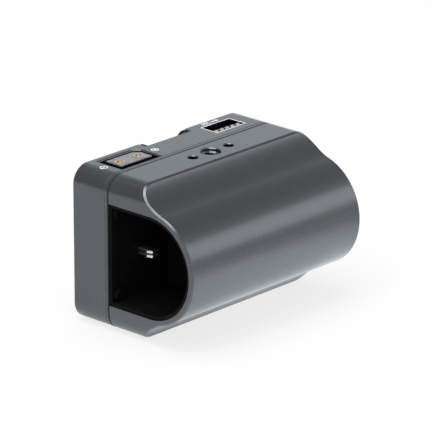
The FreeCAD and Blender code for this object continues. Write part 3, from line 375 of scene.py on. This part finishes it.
def pole_mark(centre, plus):
    """A ring with a minus in it, or with a plus."""
    def build(bm):
        print_band(bm, circle(centre, POLE_MARK_RADIUS), circle(centre, POLE_MARK_RADIUS - PRINT_LINE))
        half = PRINT_LINE / 2
        print_patch(bm, rectangle(centre, POLE_MARK_ARM, half))
        if plus:
            for side in (-1, 1):
                reach = (POLE_MARK_ARM - half) / 2
                arm = centre + Vector((0, side * (half + reach)))
                print_patch(bm, rectangle(arm, half, reach))
    return build


def output_outline(bm):
    """The white line round the output window."""
    low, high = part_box("output_socket_body")
    centre = Vector(((low[0] + high[0]) / 2, (low[1] + high[1]) / 2))
    half_x = (high[0] - low[0]) / 2 - SOCKET_WALL
    half_y = (high[1] - low[1]) / 2 - SOCKET_WALL
    print_band(bm, rectangle(centre, half_x + OUTLINE_WIDTH, half_y + OUTLINE_WIDTH),
               rectangle(centre, half_x, half_y))


def output_symbol(bm):
    """A bar over three dashes, for direct current, and an arrow that points outwards."""
    length = SYMBOL_LENGTH
    dash = length / 4
    bar = Vector((SYMBOL_LEFT + length / 2, SYMBOL_Y + SYMBOL_RISE))
    print_patch(bm, rectangle(bar, length / 2, SYMBOL_HALF_LINE))
    for k in range(3):
        centre = Vector((SYMBOL_LEFT + length * (1 + 3 * k) / 8 + dash * k / 8, SYMBOL_Y - SYMBOL_RISE))
        print_patch(bm, rectangle(centre, dash / 2, SYMBOL_HALF_LINE))
    start = SYMBOL_LEFT + length + SYMBOL_GAP
    neck = start + ARROW_SHAFT
    shaft = Vector((start + ARROW_SHAFT / 2, SYMBOL_Y))
    print_patch(bm, rectangle(shaft, ARROW_SHAFT / 2, SYMBOL_HALF_LINE))
    print_patch(bm, [Vector((neck, SYMBOL_Y - ARROW_WING)), Vector((neck + ARROW_HEAD, SYMBOL_Y)),
                     Vector((neck, SYMBOL_Y + ARROW_WING))])


def body_outline(inset):
    """The body's rounded outline in x and z, this far inside its surface."""
    half = cad_box[1][0] - CORNER_RADIUS
    low = cad_box[0][2] + CORNER_RADIUS
    high = cad_box[1][2] - CORNER_RADIUS
    reach = CORNER_RADIUS - inset
    steps = CIRCLE_STEPS // 4
    points = []
    for k, (x, z) in enumerate(((half, high), (-half, high), (-half, low), (half, low))):
        for step in range(steps + 1):
            turn = math.pi / 2 * (k + step / steps)
            points.append((x + reach * math.cos(turn), z + reach * math.sin(turn)))
    return points


def seam_line(y, width, sink):
    """A dark line around the body, painted shade of the seam's gap, from this y on, this far below its
    surface.
    """
    def build(bm):
        rings = []
        for inset, step in ((SEAM_DEPTH, 0), (sink, 0), (sink, width), (SEAM_DEPTH, width)):
            rings.append(add_ring(bm, [(x, y + step, z) for x, z in body_outline(inset)]))
        bridge(bm, rings + rings[:1])
    return build


def output_bar(bm):
    """The black bar in front of the output contacts, across the whole window."""
    low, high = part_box("output_socket_body")
    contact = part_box("output_contact_1")
    middle = Vector(((low[0] + high[0]) / 2, (low[1] + SOCKET_WALL + contact[0][1] - BAR_GAP) / 2))
    outline = rectangle(middle, (high[0] - low[0]) / 2 - SOCKET_WALL,
                        (contact[0][1] - BAR_GAP - low[1] - SOCKET_WALL) / 2)
    foot = add_ring(bm, [(p.x, p.y, high[2] - BAR_FOOT) for p in outline])
    head = add_ring(bm, [(p.x, p.y, TOP - BAR_SINK) for p in outline])
    bridge(bm, [foot, head])
    bm.faces.new(foot)
    bm.faces.new(head)


def contact_nose(node):
    """The raised nose on the side of a bay contact's blade, slanted to the tip and upwards."""
    def build(bm):
        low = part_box(node)[0]
        side = low[0]
        tip = low[1]
        back = tip + NOSE_LENGTH
        bottom = low[2] + NOSE_MARGIN
        top = low[2] + BLADE_THICKNESS - NOSE_MARGIN
        inner = add_ring(bm, [(side + NOSE_ROOT, y, z)
                              for y, z in ((tip, bottom), (tip, top), (back, top), (back, bottom))])
        outer = add_ring(bm, [(side - NOSE_SLANT, tip, bottom), (side, tip, top),
                              (side - NOSE_RISE, back, top), (side - NOSE_RISE - NOSE_SLANT, back, bottom)])
        bridge(bm, [inner, outer])
        bm.faces.new(inner)
        bm.faces.new(outer)
    return build


def sleeve_spring(node):
    """The sprung inner ring of a socket sleeve, with a mouth that narrows inwards."""
    def build(bm):
        low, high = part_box(node)
        centre = Vector(((low[0] + high[0]) / 2, (low[1] + high[1]) / 2))
        top = high[2] - SPRING_SINK
        rings = []
        for radius, z in ((SPRING_OUTER, top - SPRING_LENGTH), (SPRING_OUTER, top),
                          (SPRING_INNER, top - SPRING_MOUTH), (SPRING_INNER, top - SPRING_LENGTH)):
            rings.append(add_ring(bm, [(p.x, p.y, z) for p in circle(centre, radius)]))
        bridge(bm, rings + rings[:1])
    return build


def hex_reach(angle):
    """How far a hexagonal recess reaches from its middle at this angle."""
    turn = (angle + math.pi / 6) % (math.pi / 3) - math.pi / 6
    return HEX_HALF / math.cos(turn)


def cross_reach(angle):
    """How far a cross recess reaches from its middle at this angle."""
    turn = (angle + math.pi / 4) % (math.pi / 2) - math.pi / 4
    return min(CROSS_REACH, CROSS_HALF / max(abs(math.sin(turn)), TINY))


def screw_caps(places, face, out, radius, recess):
    """A thin face with an open recess on each screw head; out is the way that the heads look."""
    def build(bm):
        angles = [2 * math.pi * k / SCREW_STEPS for k in range(SCREW_STEPS)]
        for x, z in places:
            def ring(reach, height):
                y = face + out * height
                return add_ring(bm, [(x + reach(a) * math.cos(a), y, z + reach(a) * math.sin(a))
                                     for a in angles])
            rings = [
                ring(lambda a: radius, 0.0),
                ring(lambda a: radius, CAP_HEIGHT - CAP_EDGE),
                ring(lambda a: radius - CAP_EDGE, CAP_HEIGHT),
                ring(recess, CAP_HEIGHT),
                ring(recess, 0.0),
            ]
            bridge(bm, rings + rings[:1])
    return build


def add_screw_faces(material):
    """Recessed faces on the heads of the liner's screws and of the housing's screws."""
    low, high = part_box("liner_screws")
    radius = (high[0] - low[0]) / 2
    places = [(low[0] + radius, z) for z in (low[2] + radius, high[2] - radius)]
    caps = screw_caps(places, low[1], -1, radius, cross_reach)
    add_piece("liner_screw_faces", caps, material)
    low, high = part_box("housing_screws")
    radius = HOUSING_SCREW_RADIUS
    places = [(x, z) for x in (low[0] + radius, high[0] - radius)
              for z in (low[2] + radius, high[2] - radius)]
    caps = screw_caps(places, high[1], 1, radius, hex_reach)
    add_piece("housing_screw_faces", caps, material)


def thread_ridge(bm):
    """One helical ridge on the wall of the mounting hole, fading out at both ends."""
    mounts = {mount["name"]: mount for mount in frame["record"]["mounts"]}
    hole = mounts["thread_hole"]
    x, y = hole["pos_m"][:2]
    wall = hole["dims"]["r_mm"] * MM
    root = wall + THREAD_SINK
    high = TOP - THREAD_MOUTH
    low = high - hole["dims"]["length_mm"] * MM + THREAD_MOUTH + THREAD_PITCH / 2
    turns = (high - low) / THREAD_PITCH
    steps = int(turns * CIRCLE_STEPS)
    fade_steps = CIRCLE_STEPS / 2
    sections = []
    for k in range(steps + 1):
        angle = 2 * math.pi * turns * k / steps
        z = low + (high - low) * k / steps
        fade = min(1.0, k / fade_steps, (steps - k) / fade_steps)
        crest = root - (root - THREAD_CREST) * max(fade, THREAD_END_SHARE)
        profile = ((root, z - THREAD_HALF), (crest, z - THREAD_FLAT),
                   (crest, z + THREAD_FLAT), (root, z + THREAD_HALF))
        direction = Vector((math.cos(angle), math.sin(angle)))
        sections.append(add_ring(bm, [(x + r * direction.x, y + r * direction.y, h) for r, h in profile]))
    bridge(bm, sections)
    bm.faces.new(sections[0])
    bm.faces.new(sections[-1])


def add_prints(materials):
    white = materials["print"]
    add_piece("minus_mark", pole_mark(MINUS_MARK, False), white)
    add_piece("plus_mark", pole_mark(PLUS_MARK, True), white)
    add_piece("output_outline", output_outline, white)
    add_piece("output_symbol", output_symbol, white)


def add_floor():
    """A pale floor that shows white to the camera and keeps the shadow, and that shows a painted pool of
    light round the body in reflections.
    """
    mesh = bpy.data.meshes.new("floor")
    corners = [(p.x, p.y, 0) for p in rectangle(Vector((0, 0)), FLOOR_HALF, FLOOR_HALF)]
    mesh.from_pydata(corners, [], [(0, 1, 2, 3)])
    floor = bpy.data.objects.new("floor", mesh)
    bpy.context.scene.collection.objects.link(floor)
    material = bpy.data.materials.new("pale_floor")
    material.use_nodes = True
    tree = material.node_tree
    shader = tree.nodes["Principled BSDF"]
    shader.inputs["Base Color"].default_value = FLOOR_COLOR
    shader.inputs["Roughness"].default_value = FLOOR_ROUGHNESS
    glow = tree.nodes.new("ShaderNodeEmission")
    place = tree.nodes.new("ShaderNodeTexCoord")
    # Painted pool of light: a glow seen only in reflections, strongest near the body and fading with
    # distance.
    away = tree.nodes.new("ShaderNodeVectorMath")
    away.operation = "DISTANCE"
    away.inputs[1].default_value = FLOOR_MIDDLE
    tree.links.new(place.outputs["Object"], away.inputs[0])
    painted_light_pool = tree.nodes.new("ShaderNodeMapRange")
    painted_light_pool.inputs["From Min"].default_value = FLOOR_NEAR_REACH
    painted_light_pool.inputs["From Max"].default_value = FLOOR_FAR_REACH
    painted_light_pool.inputs["To Min"].default_value = FLOOR_NEAR
    painted_light_pool.inputs["To Max"].default_value = FLOOR_FAR
    tree.links.new(away.outputs["Value"], painted_light_pool.inputs["Value"])
    path = tree.nodes.new("ShaderNodeLightPath")
    gloss = tree.nodes.new("ShaderNodeMath")
    gloss.operation = "MAXIMUM"
    tree.links.new(path.outputs["Is Glossy Ray"], gloss.inputs[0])
    tree.links.new(path.outputs["Is Transmission Ray"], gloss.inputs[1])
    shown = tree.nodes.new("ShaderNodeMath")
    shown.operation = "MULTIPLY"
    tree.links.new(gloss.outputs["Value"], shown.inputs[0])
    tree.links.new(painted_light_pool.outputs["Result"], shown.inputs[1])
    tree.links.new(shown.outputs["Value"], glow.inputs["Strength"])
    both = tree.nodes.new("ShaderNodeAddShader")
    tree.links.new(shader.outputs["BSDF"], both.inputs[0])
    tree.links.new(glow.outputs["Emission"], both.inputs[1])
    white = tree.nodes.new("ShaderNodeEmission")
    white.inputs["Strength"].default_value = FLOOR_WHITE
    share = tree.nodes.new("ShaderNodeMath")
    share.operation = "MULTIPLY"
    share.inputs[1].default_value = FLOOR_WHITE_SHARE
    tree.links.new(path.outputs["Is Camera Ray"], share.inputs[0])
    softened = tree.nodes.new("ShaderNodeMixShader")
    tree.links.new(share.outputs["Value"], softened.inputs[0])
    tree.links.new(both.outputs["Shader"], softened.inputs[1])
    tree.links.new(white.outputs["Emission"], softened.inputs[2])
    tree.links.new(softened.outputs["Shader"], tree.nodes["Material Output"].inputs["Surface"])
    mesh.materials.append(material)


def add_world():
    """A studio with pale walls, dimmer at the back left, a darker ceiling, and plain white behind."""
    world = bpy.data.worlds.new("studio")
    bpy.context.scene.world = world
    world.use_nodes = True
    tree = world.node_tree
    background = tree.nodes["Background"]
    background.inputs["Color"].default_value = (1.0, 1.0, 1.0, 1.0)
    place = tree.nodes.new("ShaderNodeTexCoord")
    parts = tree.nodes.new("ShaderNodeSeparateXYZ")
    tree.links.new(place.outputs["Generated"], parts.inputs["Vector"])
    walls = tree.nodes.new("ShaderNodeValToRGB")
    ramp = walls.color_ramp
    while len(ramp.elements) > 1:
        ramp.elements.remove(ramp.elements[-1])
    for k, (rise, level) in enumerate(WALL_LEVELS):
        stop = ramp.elements[0] if k == 0 else ramp.elements.new(rise)
        stop.position = rise
        stop.color = (level, level, level, 1.0)
    tree.links.new(parts.outputs["Z"], walls.inputs["Fac"])
    facing = tree.nodes.new("ShaderNodeVectorMath")
    facing.operation = "DOT_PRODUCT"
    facing.inputs[1].default_value = DIM_WALL
    tree.links.new(place.outputs["Generated"], facing.inputs[0])
    dim = tree.nodes.new("ShaderNodeMapRange")
    dim.inputs["From Min"].default_value = DIM_FROM
    dim.inputs["From Max"].default_value = DIM_TO
    dim.inputs["To Min"].default_value = 1.0
    dim.inputs["To Max"].default_value = DIM_LEVEL
    tree.links.new(facing.outputs["Value"], dim.inputs["Value"])
    level = tree.nodes.new("ShaderNodeMath")
    level.operation = "MULTIPLY"
    tree.links.new(walls.outputs["Color"], level.inputs[0])
    tree.links.new(dim.outputs["Result"], level.inputs[1])
    path = tree.nodes.new("ShaderNodeLightPath")
    plain = tree.nodes.new("ShaderNodeMix")
    plain.data_type = "FLOAT"
    plain.inputs["B"].default_value = 1.0
    tree.links.new(path.outputs["Is Camera Ray"], plain.inputs["Factor"])
    tree.links.new(level.outputs["Value"], plain.inputs["A"])
    tree.links.new(plain.outputs["Result"], background.inputs["Strength"])


def add_lamp(name, place, size, power):
    light = bpy.data.lights.new(name, "AREA")
    light.shape = "DISK"
    light.size = size
    light.energy = power
    lamp = bpy.data.objects.new(name, light)
    lamp.location = place
    lamp.rotation_euler = (LAMP_TARGET - lamp.location).to_track_quat("-Z", "Y").to_euler()
    bpy.context.scene.collection.objects.link(lamp)


def add_camera():
    azimuth = math.radians(CAMERA_AZIMUTH)
    elevation = math.radians(CAMERA_ELEVATION)
    away = Vector((math.sin(azimuth) * math.cos(elevation), -math.cos(azimuth) * math.cos(elevation),
                   math.sin(elevation)))
    data = bpy.data.cameras.new("camera")
    data.lens = CAMERA_LENS
    data.sensor_width = CAMERA_SENSOR
    data.clip_start = CAMERA_CLIP_START
    camera = bpy.data.objects.new("camera", data)
    camera.location = CAMERA_TARGET + away * CAMERA_DISTANCE
    camera.rotation_euler = (-away).to_track_quat("-Z", "Y").to_euler()
    bpy.context.scene.collection.objects.link(camera)
    bpy.context.scene.camera = camera


materials = make_materials()
dress_nodes(materials)
add_prints(materials)
add_piece("mounting_thread", thread_ridge, materials["housing"])
# Dark bands of painted shade along the front and the rear seam.
front_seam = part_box("front_housing")[1][1]
add_piece("seam_line", seam_line(front_seam, SEAM_WIDTH, -SEAM_PROUD), materials["seam"])
rear_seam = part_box("rear_housing")[0][1] - REAR_SEAM_WIDTH / 2
rear_line = seam_line(rear_seam, REAR_SEAM_WIDTH, REAR_SEAM_SINK)
add_piece("rear_seam_line", rear_line, materials["seam"])
add_piece("output_bar", output_bar, materials["black_plastic"])
for blade in ("upper", "lower"):
    nose = contact_nose(f"bay_contact_{blade}")
    add_piece(f"{blade}_contact_nose", nose, materials["bay_contact"])
# The springs wear the darker gold copy, which is painted shade inside the sleeves.
for pole in ("negative", "positive"):
    add_piece(f"{pole}_spring", sleeve_spring(f"{pole}_sleeve"), materials["spring_gold"])
add_screw_faces(materials["black_screw"])
add_floor()
add_world()
for name, (place, size, power) in LAMPS.items():
    add_lamp(name, Vector(place), size, power)
add_camera()
bpy.context.scene.view_settings.view_transform = "Standard"
